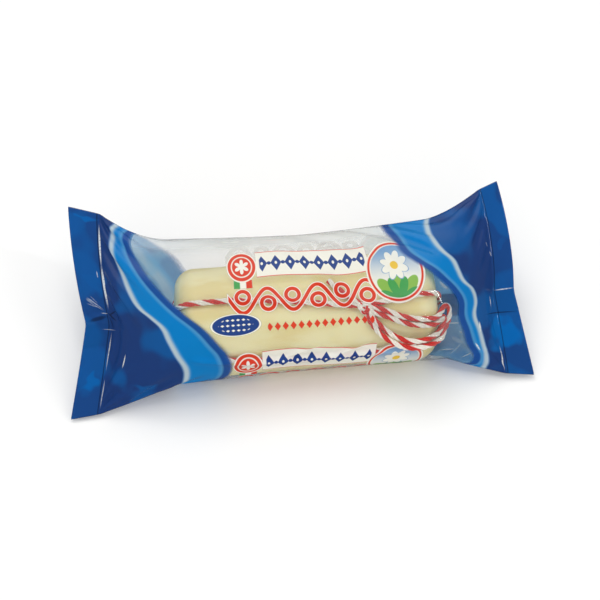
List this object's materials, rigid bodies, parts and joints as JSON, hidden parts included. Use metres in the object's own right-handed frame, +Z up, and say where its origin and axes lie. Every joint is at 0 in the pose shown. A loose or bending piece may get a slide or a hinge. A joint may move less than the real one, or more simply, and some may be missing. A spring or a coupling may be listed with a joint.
{
  "type": "flow-wrapped tied provola cheese",
  "caption": "Log of provola tied with red and white twine in a sealed clear pack with blue printed ends, lying on its belly.",
  "frame": {"origin": "middle of the whole pack's box, on the surface that it lies on", "axes": "+X along the pack towards the less flared end, +Z up, the printed front faces up and towards -Y"},
  "size_m": [0.2226, 0.0848, 0.0568],
  "materials": {
    "film": "thin glossy packing film, printed blue at both ends and clear over the cheese",
    "cheese": "smooth moist skin of pale cream-yellow stretched-curd cheese",
    "twine": "soft twisted cotton twine of red and white plies"
  },
  "bodies": {
    "root": {"pack": "film"}
  },
  "joints": []
}
